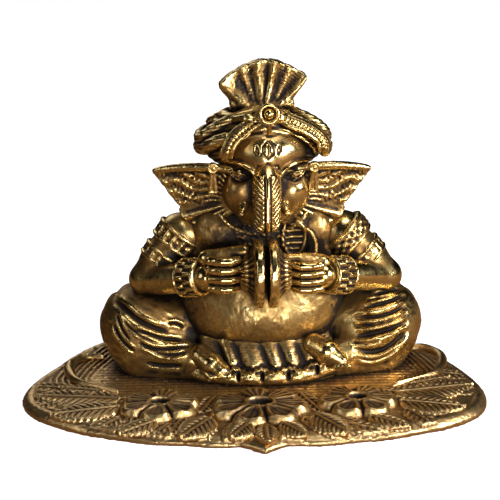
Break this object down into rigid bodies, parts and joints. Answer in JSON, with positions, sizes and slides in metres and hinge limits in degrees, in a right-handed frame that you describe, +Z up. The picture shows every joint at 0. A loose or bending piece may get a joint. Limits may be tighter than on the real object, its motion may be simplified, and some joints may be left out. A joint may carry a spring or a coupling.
{
  "type": "tabletop idol",
  "caption": "Seated elephant-headed devotional figure in a turban playing hand cymbals, cast in antique brass, on a leaf-edged plate with raised flowers.",
  "frame": {"origin": "on the underside of the plate, under the middle of its outline", "axes": "+Z up, the figure faces -Y, and +X is to the right of a viewer who faces the figure"},
  "size_m": [0.1903, 0.122, 0.1335],
  "materials": {
    "antique_brass": "cast brass with dark brown patina in the recesses and rubbed bright high spots",
    "burnished_brass": "smooth burnished brass with dark lines in the cuts",
    "plate_brass": "cast brass, browner and more heavily patinated, rubbed gold on the raised relief and the rim",
    "zinc_plated_steel": "zinc plated, lightly brushed"
  },
  "bodies": {
    "root": {"base_plate": "plate_brass", "centre_flower": "plate_brass", "crest_fan": "antique_brass", "dhoti_pleats": "antique_brass", "fixing_screws": "zinc_plated_steel", "front_leaves": "plate_brass", "head": "burnished_brass", "left_arm": "burnished_brass", "left_bracelet": "antique_brass", "left_cymbal": "burnished_brass", "left_ear": "antique_brass", "left_earring": "antique_brass", "left_flower": "plate_brass", "left_foot": "burnished_brass", "left_hand": "burnished_brass", "left_leaves": "plate_brass", "left_leg": "antique_brass", "left_lower_armlet": "antique_brass", "left_scroll": "plate_brass", "left_tusk": "burnished_brass", "left_upper_armlet": "antique_brass", "necklace": "antique_brass", "right_arm": "burnished_brass", "right_bracelet": "antique_brass", "right_cymbal": "burnished_brass", "right_ear": "antique_brass", "right_earring": "antique_brass", "right_flower": "plate_brass", "right_foot": "burnished_brass", "right_hand": "burnished_brass", "right_leaves": "plate_brass", "right_leg": "antique_brass", "right_lower_armlet": "antique_brass", "right_scroll": "plate_brass", "right_tusk": "burnished_brass", "right_upper_armlet": "antique_brass", "screw_washers": "zinc_plated_steel", "torso": "antique_brass", "trunk": "burnished_brass", "turban_band": "antique_brass", "turban_jewel": "antique_brass", "turban_top": "antique_brass", "turban_wrap": "antique_brass"}
  },
  "joints": []
}
